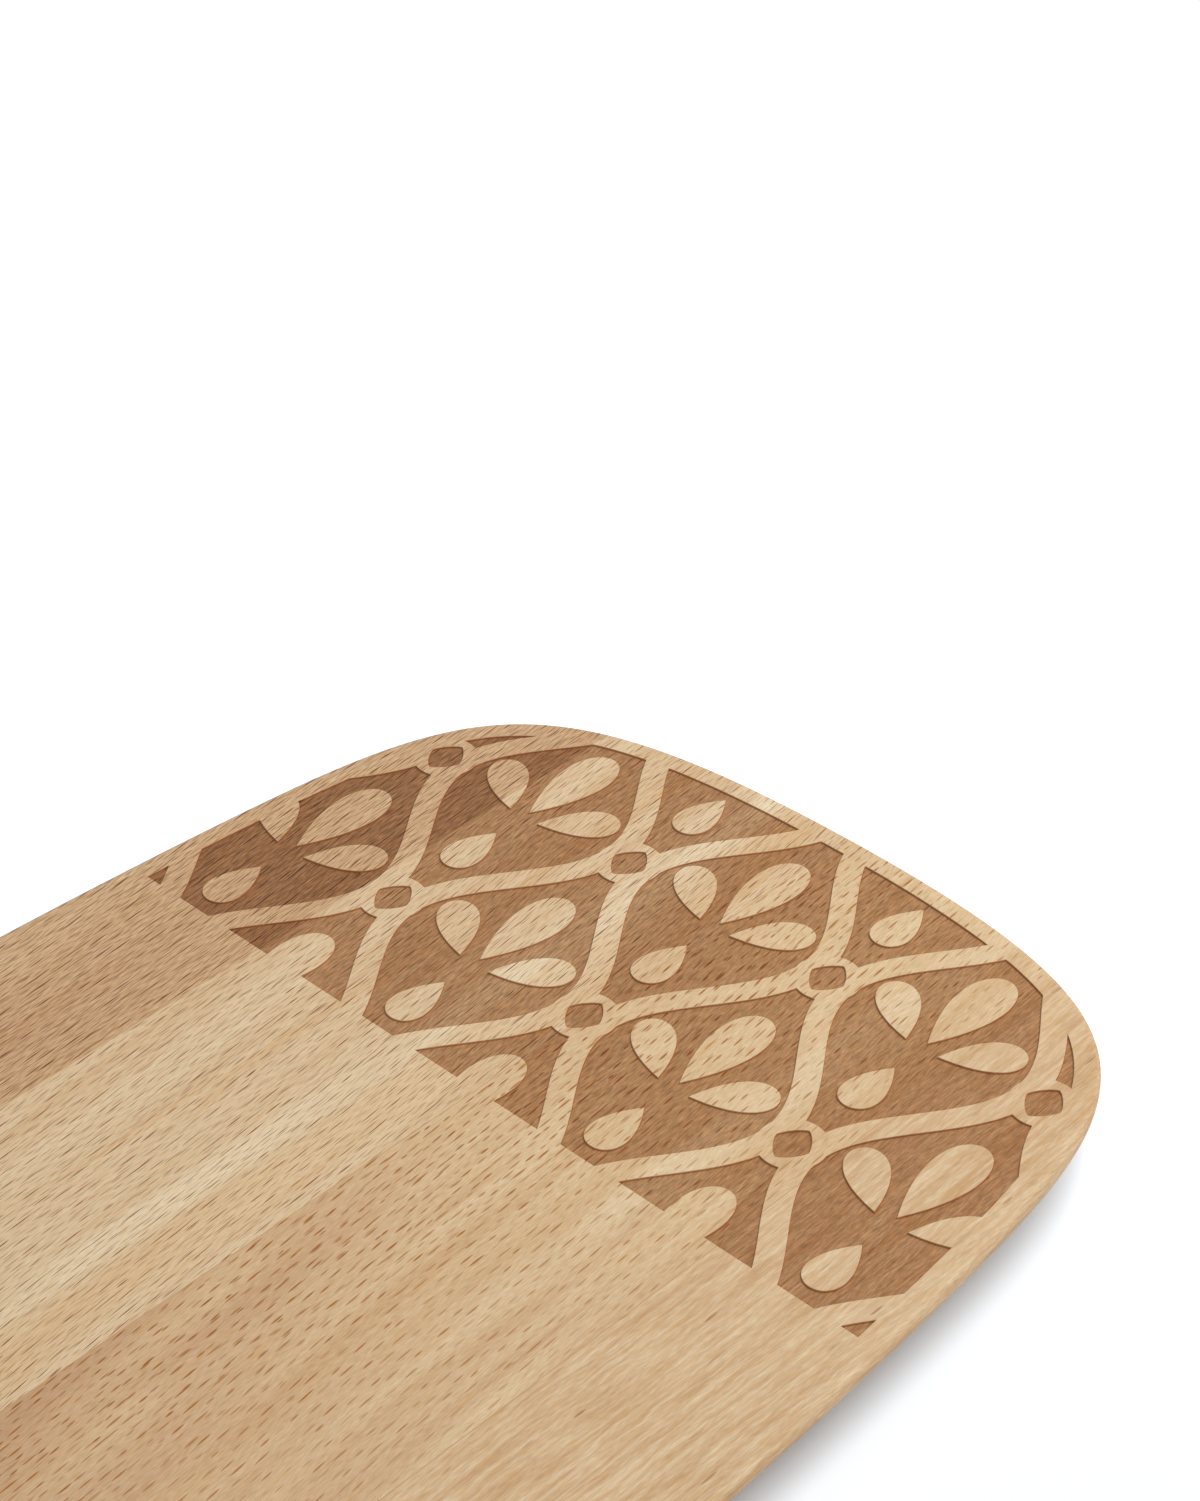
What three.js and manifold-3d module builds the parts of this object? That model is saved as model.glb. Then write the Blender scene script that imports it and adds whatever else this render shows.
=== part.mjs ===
// Serving board of edge-glued beech, with an undercut rim and a milled ornamental band at one end.
// Millimetres. The origin is the middle of the underside, +X runs to the ornamental end, +Z is up.
import * as THREE from 'three';
import { mergeVertices } from 'three/addons/utils/BufferGeometryUtils.js';
import Module from 'manifold-3d';

const wasm = await Module();
wasm.setup();

// Board
const LENGTH = 380;
const WIDTH = 200;
const THICKNESS = 16;

// Plan outline: bowed sides, and at each end a pair of curves drawn towards the corners of the plan
const SIDE_BOW = 4.7; // how far a side comes in from its middle to its shoulder
const SHOULDER_FROM_END = 83.1; // where the side ends and the corner's curve begins
const CORNER_FROM_END = 20.1; // how far short of the end the side's curve is drawn
const CORNER_FROM_SIDE = 17.7; // how far short of the side the end's curve is drawn
const OUTLINE_STEP = 5; // length of one facet along the outline

// Edge: a thin rounded rim above an undercut that leaves room for fingers under the board
const RIM_HEIGHT = 3;
const TOP_ROUND = 1.7;
const LOWER_ROUND = 0.8;
const UNDERCUT = 14;
const ROUND_STEPS = 3;

// Staves and the glue between them
const STAVE_WIDTH = 59.5;
const MIDDLE_JOINT_Y = -0.4;
const GLUE_THICKNESS = 0.2;

// Ornamental band: its ground is milled away and the ornament is left level with the top
const BAND_REACH = 105.8; // from the end of the board to the band's straight inner border
const BORDER_MARGIN = 5; // plain wood between the band and the edge of the board
const GROUND_DEPTH = 0.5;

// Trellis of waved lines, with a bead where two lines come close and a lozenge cut into each bead
const CELL_LENGTH = 80;
const CELL_WIDTH = 52;
const FIRST_CELL_BACK = 11; // from the band's inner border back to the middle of the first cells
const LINE_WIDTH = 5;
const NECK_WIDTH = 7.8; // between the middles of two lines at a bead
const BEAD_DIAMETER = 13.4;
const LOZENGE_LENGTH = 9.6;
const LOZENGE_WIDTH = 7.8;
const LOZENGE_POWER = 1.5; // 1 is an ellipse, 2 is a straight-sided lozenge
const WAVE_STEPS = 28;
const ROUND_POINTS = 20;

// Palmette in each cell: a fan of petals and, behind it, a bud
const FAN_BACK = 7; // from the middle of the cell back to the centre of the fan
const FAN_CENTRE_GAP = 5.4; // from the centre of the fan to the tips of its petals
const PETALS = [
  { turn: 0, reach: 30, width: 10 },
  { turn: 47, reach: 22, width: 8.4 },
  { turn: -47, reach: 22, width: 8.4 },
];
const BUD_BACK = 4.4; // from the centre of the fan to the tip of the bud
const BUD_LENGTH = 14;
const BUD_WIDTH = 8;
const PETAL_POINTS = 24;

// How far a cutting shape runs past the wood that it cuts
const CUT_PAST = 1;
const MERGE_DISTANCE = 1e-4;

// A closed three.js geometry as a solid that can be joined and cut
function solidOf(geometry) {
  geometry.deleteAttribute('normal');
  geometry.deleteAttribute('uv');
  const merged = mergeVertices(geometry, MERGE_DISTANCE);
  return new wasm.Manifold(
    new wasm.Mesh({
      numProp: 3,
      vertProperties: merged.attributes.position.array,
      triVerts: new Uint32Array(merged.index.array),
    }),
  );
}

// A solid back as a three.js geometry
function geometryOf(solid) {
  const mesh = solid.getMesh();
  const geometry = new THREE.BufferGeometry();
  geometry.setAttribute('position', new THREE.BufferAttribute(mesh.vertProperties, mesh.numProp));
  geometry.setIndex(new THREE.BufferAttribute(mesh.triVerts, 1));
  geometry.computeVertexNormals();
  return geometry;
}

// A flat shape drawn up from one height to another
function prism(shape, from, to) {
  const geometry = new THREE.ExtrudeGeometry(shape, { depth: to - from, bevelEnabled: false });
  return solidOf(geometry.translate(0, 0, from));
}

function rectangle(x0, y0, x1, y1) {
  return new THREE.Shape([
    new THREE.Vector2(x0, y0),
    new THREE.Vector2(x1, y0),
    new THREE.Vector2(x1, y1),
    new THREE.Vector2(x0, y1),
  ]);
}

// The board's plan, counter-clockwise from the middle of the ornamental end
function planPath() {
  const endX = LENGTH / 2;
  const shoulderX = endX - SHOULDER_FROM_END;
  const shoulderY = WIDTH / 2 - SIDE_BOW;
  const bowY = WIDTH / 2 + SIDE_BOW; // control point of a side's quadratic curve
  const cornerX = endX - CORNER_FROM_END;
  const cornerY = shoulderY - (2 * SIDE_BOW * (cornerX - shoulderX)) / shoulderX;
  const endY = WIDTH / 2 - CORNER_FROM_SIDE;
  const path = new THREE.Path();
  path.moveTo(endX, 0);
  path.bezierCurveTo(endX, endY, cornerX, cornerY, shoulderX, shoulderY);
  path.quadraticCurveTo(0, bowY, -shoulderX, shoulderY);
  path.bezierCurveTo(-cornerX, cornerY, -endX, endY, -endX, 0);
  path.bezierCurveTo(-endX, -endY, -cornerX, -cornerY, -shoulderX, -shoulderY);
  path.quadraticCurveTo(0, -bowY, shoulderX, -shoulderY);
  path.bezierCurveTo(cornerX, -cornerY, endX, -endY, endX, 0);
  return path;
}

// The plan's points, as many in each quarter, and at each point the direction into the board
function planPoints() {
  const path = planPath();
  const quarterSteps = Math.round(path.getLength() / 4 / OUTLINE_STEP);
  const points = path.getSpacedPoints(4 * quarterSteps);
  points.pop();
  return points.map((point, i) => {
    const before = points.at(i - 1);
    const after = points[(i + 1) % points.length];
    const along = after.clone().sub(before).normalize();
    return { point, inward: new THREE.Vector2(-along.y, along.x) };
  });
}

// The plan drawn in by one distance all round
function insetPlan(plan, inset) {
  return plan.map(({ point, inward }) => point.clone().addScaledVector(inward, inset));
}

// The edge's section as points of inset and height, from the underside up to the top
function edgeSection() {
  const rimFoot = THICKNESS - RIM_HEIGHT;
  const back = LOWER_ROUND / Math.hypot(UNDERCUT, rimFoot);
  const section = new THREE.Path();
  section.moveTo(UNDERCUT, 0);
  section.lineTo(UNDERCUT * back, rimFoot * (1 - back));
  section.quadraticCurveTo(0, rimFoot, 0, rimFoot + LOWER_ROUND);
  section.lineTo(0, THICKNESS - TOP_ROUND);
  section.quadraticCurveTo(0, THICKNESS, TOP_ROUND, THICKNESS);
  return section.getPoints(ROUND_STEPS);
}

// The whole board before it is milled: the edge's section carried round the plan, closed above and below
function boardBlank(plan) {
  const section = edgeSection();
  const rings = section.map(({ x: inset, y: height }) => ({ height, points: insetPlan(plan, inset) }));
  const count = plan.length;
  const positions = rings.flatMap(({ height, points }) => points.flatMap(({ x, y }) => [x, y, height]));
  const index = [];
  for (let ring = 0; ring + 1 < rings.length; ring += 1) {
    for (let i = 0; i < count; i += 1) {
      const a = ring * count + i;
      const b = ring * count + ((i + 1) % count);
      index.push(a, b, b + count, a, b + count, a + count);
    }
  }
  const top = (rings.length - 1) * count;
  THREE.ShapeUtils.triangulateShape(rings.at(-1).points, []).forEach((face) => {
    index.push(...face.map((i) => top + i));
  });
  THREE.ShapeUtils.triangulateShape(rings[0].points, []).forEach((face) => {
    index.push(...face.toReversed());
  });
  const geometry = new THREE.BufferGeometry();
  geometry.setAttribute('position', new THREE.Float32BufferAttribute(positions, 3));
  geometry.setIndex(index);
  return solidOf(geometry);
}

// A petal: pointed where it starts, round at its far end, widest two thirds of the way along
function petalPath(start, turn, length, width) {
  const widest = 4 / Math.sqrt(27); // greatest value of sin(s) sin(s / 2)
  const points = [];
  for (let i = 0; i < PETAL_POINTS; i += 1) {
    const s = (2 * Math.PI * i) / PETAL_POINTS;
    const along = (length * (1 - Math.cos(s))) / 2;
    const across = (width * Math.sin(s) * Math.sin(s / 2)) / (2 * widest);
    points.push(new THREE.Vector2(along, across).rotateAround(new THREE.Vector2(), turn).add(start));
  }
  return new THREE.Path(points);
}

// The petals and the bud of the palmette in the cell around a middle point
function palmettePaths(middle) {
  const centre = new THREE.Vector2(middle.x - FAN_BACK, middle.y);
  const petals = PETALS.map(({ turn, reach, width }) => {
    const angle = THREE.MathUtils.degToRad(turn);
    const start = new THREE.Vector2(FAN_CENTRE_GAP, 0).rotateAround(new THREE.Vector2(), angle).add(centre);
    return petalPath(start, angle, reach - FAN_CENTRE_GAP, width);
  });
  const budStart = new THREE.Vector2(centre.x - BUD_BACK, centre.y);
  return [...petals, petalPath(budStart, Math.PI, BUD_LENGTH, BUD_WIDTH)];
}

// The ground between two waved lines, from one bead to the next, with its palmette left standing
function cellShape(middle) {
  const swell = CELL_WIDTH / 4 - NECK_WIDTH / 2;
  const upper = [];
  for (let i = 0; i <= WAVE_STEPS; i += 1) {
    const x = CELL_LENGTH * (i / WAVE_STEPS - 0.5);
    const phase = (2 * Math.PI * x) / CELL_LENGTH;
    const slope = (-swell * Math.sin(phase) * 2 * Math.PI) / CELL_LENGTH;
    const half = LINE_WIDTH / 2 / Math.hypot(1, slope);
    upper.push(new THREE.Vector2(x + slope * half, CELL_WIDTH / 4 + swell * Math.cos(phase) - half));
  }
  const lower = upper.map(({ x, y }) => new THREE.Vector2(x, -y));
  const shape = new THREE.Shape([...lower, ...upper.toReversed()].map((point) => point.add(middle)));
  shape.holes = palmettePaths(middle);
  return shape;
}

function roundShape(middle, length, width, power) {
  const points = [];
  for (let i = 0; i < ROUND_POINTS; i += 1) {
    const t = (2 * Math.PI * i) / ROUND_POINTS;
    const x = (length / 2) * Math.sign(Math.cos(t)) * Math.abs(Math.cos(t)) ** power;
    const y = (width / 2) * Math.sign(Math.sin(t)) * Math.abs(Math.sin(t)) ** power;
    points.push(new THREE.Vector2(x, y).add(middle));
  }
  return new THREE.Shape(points);
}

// The middles of the cells, in columns across the band, every other column half a cell further on
function cellMiddles(bandStart) {
  const columns = Math.ceil(WIDTH / CELL_WIDTH);
  const rows = Math.ceil((BAND_REACH + FIRST_CELL_BACK) / CELL_LENGTH);
  const middles = [];
  for (let column = -columns; column <= columns; column += 1) {
    const first = bandStart - FIRST_CELL_BACK + (column % 2 === 0 ? 0 : CELL_LENGTH / 2);
    for (let row = 0; row <= rows; row += 1) {
      middles.push(new THREE.Vector2(first + row * CELL_LENGTH, (column * CELL_WIDTH) / 2));
    }
  }
  return middles;
}

// Everything that is milled away, cut off at the band's straight border and along the edge of the board
function bandGround(plan) {
  const bandStart = LENGTH / 2 - BAND_REACH;
  const floor = THICKNESS - GROUND_DEPTH;
  const above = THICKNESS + CUT_PAST;
  const middles = cellMiddles(bandStart);
  const beads = middles.flatMap(({ x, y }) => [
    new THREE.Vector2(x + CELL_LENGTH / 2, y),
    new THREE.Vector2(x - CELL_LENGTH / 2, y),
  ]);
  let ground = middles.map((middle) => prism(cellShape(middle), floor, above)).reduce((a, b) => a.add(b));
  beads.forEach((middle) => {
    const bead = roundShape(middle, BEAD_DIAMETER, BEAD_DIAMETER, 1);
    ground = ground.subtract(prism(bead, floor - CUT_PAST, above + CUT_PAST));
  });
  beads.forEach((middle) => {
    const lozenge = roundShape(middle, LOZENGE_LENGTH, LOZENGE_WIDTH, LOZENGE_POWER);
    ground = ground.add(prism(lozenge, floor, above));
  });
  const inner = new THREE.Shape(insetPlan(plan, BORDER_MARGIN));
  const band = rectangle(bandStart, -WIDTH / 2, LENGTH / 2, WIDTH / 2);
  return ground
    .intersect(prism(inner, floor - CUT_PAST, above + CUT_PAST))
    .intersect(prism(band, floor - CUT_PAST, above + CUT_PAST));
}

// The lengthwise slice of the board between two distances from its middle line
function slice(board, from, to) {
  const half = LENGTH / 2 + CUT_PAST;
  return board.intersect(prism(rectangle(-half, from, half, to), -CUT_PAST, THICKNESS + CUT_PAST));
}

function subPart(name, solid, color, roughness) {
  const material = new THREE.MeshStandardMaterial({ color, roughness, metalness: 0 });
  const mesh = new THREE.Mesh(geometryOf(solid), material);
  mesh.name = name;
  return mesh;
}

const plan = planPoints();
const board = boardBlank(plan).subtract(bandGround(plan));

// Joints between the staves, from right to left as seen with the ornamental end ahead
const joints = [
  { name: 'right_glue_line', y: MIDDLE_JOINT_Y - STAVE_WIDTH },
  { name: 'middle_glue_line', y: MIDDLE_JOINT_Y },
  { name: 'left_glue_line', y: MIDDLE_JOINT_Y + STAVE_WIDTH },
];
const staves = [
  { name: 'right_outer_stave', color: 0xceae87 },
  { name: 'right_inner_stave', color: 0xccac87 },
  { name: 'left_inner_stave', color: 0xd1b692 },
  { name: 'left_outer_stave', color: 0xbd9872 },
];
const GLUE_COLOR = 0xb08a5e;
const WOOD_ROUGHNESS = 0.6;
const GLUE_ROUGHNESS = 0.5;

const servingBoard = new THREE.Group();
servingBoard.name = 'serving_board';
staves.forEach(({ name, color }, i) => {
  const from = i === 0 ? -WIDTH / 2 - CUT_PAST : joints[i - 1].y + GLUE_THICKNESS / 2;
  const to = i === joints.length ? WIDTH / 2 + CUT_PAST : joints[i].y - GLUE_THICKNESS / 2;
  servingBoard.add(subPart(name, slice(board, from, to), color, WOOD_ROUGHNESS));
});
joints.forEach(({ name, y }) => {
  const film = slice(board, y - GLUE_THICKNESS / 2, y + GLUE_THICKNESS / 2);
  servingBoard.add(subPart(name, film, GLUE_COLOR, GLUE_ROUGHNESS));
});

export default servingBoard;
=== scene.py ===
"""Finish an edge-glued beech serving board: staves with a milled band, glue lines and a white studio."""

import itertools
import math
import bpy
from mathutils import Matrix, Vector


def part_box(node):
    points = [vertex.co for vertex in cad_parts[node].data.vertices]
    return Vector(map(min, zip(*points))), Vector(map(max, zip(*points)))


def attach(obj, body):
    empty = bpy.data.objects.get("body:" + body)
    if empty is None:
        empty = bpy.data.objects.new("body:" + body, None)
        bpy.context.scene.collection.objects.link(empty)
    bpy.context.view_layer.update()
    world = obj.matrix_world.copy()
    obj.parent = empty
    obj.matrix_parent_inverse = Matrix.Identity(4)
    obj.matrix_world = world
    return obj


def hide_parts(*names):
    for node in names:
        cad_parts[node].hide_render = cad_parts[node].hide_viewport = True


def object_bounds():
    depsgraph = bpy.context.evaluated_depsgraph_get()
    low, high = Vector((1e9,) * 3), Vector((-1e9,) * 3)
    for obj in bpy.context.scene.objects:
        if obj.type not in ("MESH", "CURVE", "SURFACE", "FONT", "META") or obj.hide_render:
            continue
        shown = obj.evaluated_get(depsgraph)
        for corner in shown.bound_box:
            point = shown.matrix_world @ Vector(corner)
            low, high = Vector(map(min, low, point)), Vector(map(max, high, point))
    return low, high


bl_info = {
    "name": "Serving board",
    "version": (1, 0, 0),
    "blender": (4, 5, 0),
    "location": "View3D > Sidebar > Board",
    "description": "Builds an edge-glued beech serving board with a milled trellis band, and its studio",
    "category": "Object",
}

from typing import NamedTuple

import bmesh
import bpy
import numpy as np
from bpy.props import FloatProperty, FloatVectorProperty, PointerProperty
from bpy.types import Operator, Panel, PropertyGroup
from mathutils import Matrix, Vector
from mathutils.geometry import delaunay_2d_cdt

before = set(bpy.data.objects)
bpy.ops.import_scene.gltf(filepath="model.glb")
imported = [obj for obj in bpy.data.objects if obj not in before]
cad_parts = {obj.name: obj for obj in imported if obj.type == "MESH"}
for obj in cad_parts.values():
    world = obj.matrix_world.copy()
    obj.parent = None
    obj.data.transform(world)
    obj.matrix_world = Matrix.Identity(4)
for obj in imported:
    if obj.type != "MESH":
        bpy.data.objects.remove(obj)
CAD_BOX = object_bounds()

MM = 0.001
LENGTH, WIDTH, THICKNESS = CAD_BOX[1] - CAD_BOX[0]
STAVES = ("right_outer_stave", "right_inner_stave", "left_inner_stave", "left_outer_stave")
GLUE_LINES = ("right_glue_line", "middle_glue_line", "left_glue_line")

# How finely the curves are drawn
PLAN_STEP = 2.0 * MM
CURVE_SAMPLES = 400
ROUND_STEPS = 6
WAVE_STEPS = 96
PETAL_STEPS = 72
BEAD_STEPS = 64
LOZENGE_STEPS = 56

# The plane is cut along the ornament in millimetres, and points closer than this become one
SAME_PLACE = 1e-4

# Points of a mesh closer than this, in metres, become one
MERGE_DISTANCE = 2e-7

# The edge section runs on this far over the flat foot and the serving face
FLAT_LIP = 1.5 * MM

# Kinds of outline on the serving face
FIELD, BAND, CELL, PETAL, BEAD, LOZENGE = range(6)

# Palmette petals: turn in degrees, reach and width
PETALS = (
    (0, 30.0 * MM, 10.0 * MM),
    (47, 22.0 * MM, 8.4 * MM),
    (-47, 22.0 * MM, 8.4 * MM),
)

# Powers of the rounded lozenge: the bead is round and the hollow in it is drawn out to four points
BEAD_POWER = 1
LOZENGE_POWER = 1.5

# The wall of the milled ground: how far in and how far down, as shares of its run and of the depth
WALL_SECTION = np.array([(0.0, 0.0), (0.25, 0.05), (0.5, 0.2), (0.7, 0.75), (0.85, 0.92), (1.0, 1.0)])

# A corner of the wall moves by at most this many times the run
LONGEST_MITRE = 2.5


def srgb(red, green, blue):
    """A colour given as 0 to 255 display values, as linear light."""
    share = np.array([red, green, blue]) / 255
    linear = np.where(share > 0.04045, ((share + 0.055) / 1.055) ** 2.4, share / 12.92)
    return tuple(float(value) for value in linear)


def length_property(name, description, millimetres):
    """A length that the sidebar shows in the scene's unit."""
    return FloatProperty(
        name=name, description=description, default=millimetres * MM, min=0, unit="LENGTH", precision=4
    )


def colour_property(name, description, red, green, blue):
    """A colour, given as 0 to 255 display values."""
    return FloatVectorProperty(
        name=name, description=description, default=srgb(red, green, blue), min=0, max=1, subtype="COLOR"
    )


class BoardShape(PropertyGroup):
    """Sizes of the outline and the edge; the length, width and thickness come from the frame."""

    side_bow: length_property("Side bow", "How far each side swells between its shoulders", 4.7)
    shoulder_from_end: length_property("Shoulder", "Where the side starts to turn, from the end", 83.1)
    corner_from_end: length_property("Corner from end", "Control point of the corner, from the end", 20.1)
    corner_from_side: length_property("Corner from side", "Control point of the corner, from the side", 17.7)
    rim_height: length_property("Rim height", "Height of the upright rim under the serving face", 3.0)
    top_round: length_property("Top round", "Rounding of the rim's upper edge", 1.7)
    lower_round: length_property("Lower round", "Rounding of the rim's lower edge", 0.8)
    foot_round: length_property("Foot round", "Rounding of the foot's edge", 0.6)
    undercut: length_property("Undercut", "How far the foot stands in from the rim", 14.0)


class BandOrnament(PropertyGroup):
    """Sizes of the milled band."""

    reach: length_property("Reach", "From the end of the board to the inner border", 105.8)
    margin: length_property("Margin", "Plain wood left along the edge of the board", 5.0)
    depth: length_property("Depth", "How deep the ground is milled", 0.5)
    wall_run: length_property("Wall run", "How far the wall of the ground leans in", 0.2)
    cell_length: length_property("Cell length", "Length of one trellis cell along the board", 80.0)
    cell_width: length_property("Cell width", "Width of one trellis cell across the board", 52.0)
    first_back: length_property("First cells back", "From the border back to the first cells' middles", 11.0)
    line_width: length_property("Line width", "Width of the waved lines", 5.0)
    neck_width: length_property("Neck width", "Width of a cell where it is narrowest", 7.8)
    bead: length_property("Bead", "Diameter of the bead at each neck", 13.4)
    lozenge_length: length_property("Lozenge length", "Length of the hollow lozenge in each bead", 9.6)
    lozenge_width: length_property("Lozenge width", "Width of the hollow lozenge in each bead", 7.8)
    fan_back: length_property("Fan back", "From the middle of a cell back to the root of its petals", 7.0)
    fan_gap: length_property("Fan gap", "From the root of the fan to the start of each petal", 5.4)
    bud_back: length_property("Bud back", "From the root of the fan back to the start of the bud", 4.4)
    bud_length: length_property("Bud length", "Length of the bud behind the fan", 14.0)
    bud_width: length_property("Bud width", "Width of the bud behind the fan", 8.0)


class BeechTones(PropertyGroup):
    """Colours of the four staves, of what shows in their grain, and of the glue."""

    left_outer: colour_property("Left outer stave", "Mean colour along the left side", 198, 163, 124)
    left_inner: colour_property("Left inner stave", "Mean colour left of the middle", 211, 184, 147)
    right_inner: colour_property("Right inner stave", "Mean colour right of the middle", 209, 180, 140)
    right_outer: colour_property("Right outer stave", "Mean colour along the right side", 202, 170, 131)
    fleck: colour_property("Fleck", "Darker flecks on the right staves", 140, 78, 8)
    dark_fleck: colour_property("Dark fleck", "Flecks on the left outer stave", 96, 44, 0)
    brown_fleck: colour_property("Brown fleck", "Flecks on the left inner stave", 120, 58, 0)
    amber_fleck: colour_property("Amber fleck", "Lighter flecks on the right inner stave", 156, 94, 18)
    honey: colour_property("Honey streak", "Yellower streaks and soft flecks", 206, 158, 98)
    rose: colour_property("Rose streak", "Darker, redder heartwood", 178, 134, 98)
    ring: colour_property("Ring", "Thin growth ring lines", 176, 126, 78)
    pale: colour_property("Pale streak", "Pale sapwood", 226, 206, 172)
    glue: colour_property("Glue", "Cured glue", 190, 150, 106)


class Studio(PropertyGroup):
    """The camera's place and view, and the colour of the floor."""

    camera_place: FloatVectorProperty(
        name="Camera place", description="Where the camera stands", default=(-0.2611, -0.3606, 0.4537),
        subtype="TRANSLATION", unit="LENGTH",
    )
    camera_yaw: FloatProperty(
        name="Camera yaw", description="Heading from +X towards +Y", default=math.radians(43.601),
        subtype="ANGLE",
    )
    camera_pitch: FloatProperty(
        name="Camera pitch", description="How far the camera looks down", default=math.radians(35.901),
        subtype="ANGLE",
    )
    camera_lens: FloatProperty(
        name="Lens", description="Focal length on a 36 mm frame", default=86.34, min=1, unit="CAMERA"
    )
    floor: colour_property("Floor", "Colour of the floor", 220, 220, 221)


def bezier(controls, count):
    """Points on a Bezier curve: the sum of its control points, each times its binomial share at t."""
    points = np.asarray(controls, float)
    order = len(points) - 1
    t = np.linspace(0, 1, count)[:, None]
    shares = [math.comb(order, k) * t**k * (1 - t) ** (order - k) for k in range(order + 1)]
    return sum(share * point for share, point in zip(shares, points))


def even_points(path, count):
    """The same path with its points an equal way apart, counted along it."""
    run = np.concatenate([[0], np.cumsum(np.hypot(*np.diff(path, axis=0).T))])
    places = np.linspace(0, run[-1], count)
    return np.column_stack([np.interp(places, run, path[:, 0]), np.interp(places, run, path[:, 1])])


def left_normals(path):
    """Unit normals to the left of a closed path: the chord of a point's neighbours, turned a quarter."""
    chord = np.roll(path, -1, axis=0) - np.roll(path, 1, axis=0)
    normal = np.column_stack([-chord[:, 1], chord[:, 0]])
    return normal / np.linalg.norm(normal, axis=1)[:, None]


def board_plan(shape):
    """The outline, anticlockwise from the middle of the ornamental end, and its inward normals.

    One quarter is a cubic from the end's middle to the shoulder and a parabola from there to the side's
    middle, where y = W / 2 - bow * (x / shoulder) squared. The other quarters mirror it.
    """
    end = LENGTH / 2
    shoulder = (end - shape.shoulder_from_end, WIDTH / 2 - shape.side_bow)
    corner_x = end - shape.corner_from_end
    corner_y = shoulder[1] - 2 * shape.side_bow * (corner_x - shoulder[0]) / shoulder[0]
    end_y = WIDTH / 2 - shape.corner_from_side
    corner = bezier([(end, 0), (end, end_y), (corner_x, corner_y), shoulder], CURVE_SAMPLES)
    side = bezier([shoulder, (shoulder[0] / 2, WIDTH / 2), (0, WIDTH / 2)], CURVE_SAMPLES)
    quarter = np.concatenate([corner, side[1:]])
    run = np.hypot(*np.diff(quarter, axis=0).T).sum()
    quarter = even_points(quarter, round(run / PLAN_STEP) + 1)
    back = quarter[::-1]
    plan = np.concatenate(
        [quarter[:-1], (back * (-1, 1))[:-1], (quarter * (-1, -1))[:-1], (back * (1, -1))[:-1]]
    )
    return plan, left_normals(plan)


def eased(corners, setbacks):
    """A polyline whose inner corners are eased: a quadratic from one setback before each to one after it."""
    points = np.asarray(corners, float)
    path = [points[:1]]
    for before, corner, after, setback in zip(points, points[1:], points[2:], setbacks):
        start = corner + (before - corner) / np.linalg.norm(before - corner) * setback
        stop = corner + (after - corner) / np.linalg.norm(after - corner) * setback
        path.append(bezier([start, corner, stop], ROUND_STEPS + 1))
    path.append(points[-1:])
    return np.concatenate(path)


def edge_section(shape):
    """The edge as (inset, height): along the foot, out up the undercut, up the rim and in over the top."""
    lower = THICKNESS - shape.rim_height
    corners = [
        (shape.undercut + FLAT_LIP, 0),
        (shape.undercut, 0),
        (0, lower),
        (0, THICKNESS),
        (shape.top_round + FLAT_LIP, THICKNESS),
    ]
    return eased(corners, [shape.foot_round, shape.lower_round, shape.top_round])


def edge_surface(plan, inward, section):
    """The edge section carried along the plan: each plan point goes in by the inset, at that height."""
    rings = plan[None] + inward[None] * section[:, :1, None]
    heights = np.broadcast_to(section[:, 1, None, None], rings.shape[:2] + (1,))
    points = np.concatenate([rings, heights], axis=2)
    here = np.arange(rings.shape[0] * rings.shape[1]).reshape(rings.shape[:2])
    ahead = np.roll(here, -1, axis=1)
    quads = np.stack([here[:-1], ahead[:-1], ahead[1:], here[1:]], axis=2)
    return points.reshape(-1, 3), quads.reshape(-1, 4)


def foot_strips(count):
    """The flat foot inside the first ring: strips that join each point to its mirror image."""
    near = np.arange(count // 2)
    far = (count - near) % count
    return np.column_stack([near, far, (far - 1) % count, near + 1])[1:-1]


def petal(root, turn, reach, width):
    """A petal: along = reach (1 - cos s) / 2, across = width / 2 times sin s sin(s / 2) over its peak."""
    s = np.linspace(2 * np.pi, 0, PETAL_STEPS, endpoint=False)
    along = reach * (1 - np.cos(s)) / 2
    across = width / 2 * np.sin(s) * np.sin(s / 2) / (4 / math.sqrt(27))
    cosine, sine = math.cos(turn), math.sin(turn)
    x = root[0] + cosine * along - sine * across
    y = root[1] + sine * along + cosine * across
    return np.column_stack([x, y])


def palmettes(band, middle):
    """The fan of petals and the bud behind it, in one cell."""
    root = np.array([middle[0] - band.fan_back, middle[1]])
    for degrees, reach, width in PETALS:
        turn = math.radians(degrees)
        start = root + band.fan_gap * np.array([math.cos(turn), math.sin(turn)])
        yield petal(start, turn, reach - band.fan_gap, width)
    yield petal(root - (band.bud_back, 0), math.pi, band.bud_length, band.bud_width)


def trellis_cell(band, middle):
    """A cell between two waved lines: half width = w / 4 + swell cos(2 pi x / l), less half a line."""
    swell = band.cell_width / 4 - band.neck_width / 2
    x = np.linspace(-band.cell_length / 2, band.cell_length / 2, WAVE_STEPS + 1)
    wave = 2 * np.pi / band.cell_length
    half = band.cell_width / 4 + swell * np.cos(wave * x)
    slope = -swell * wave * np.sin(wave * x)
    normal = np.column_stack([slope, -np.ones_like(x)]) / np.hypot(1, slope)[:, None]
    upper = np.column_stack([x, half]) + normal * band.line_width / 2
    return np.concatenate([upper[::-1], upper * (1, -1)]) + middle


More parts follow.
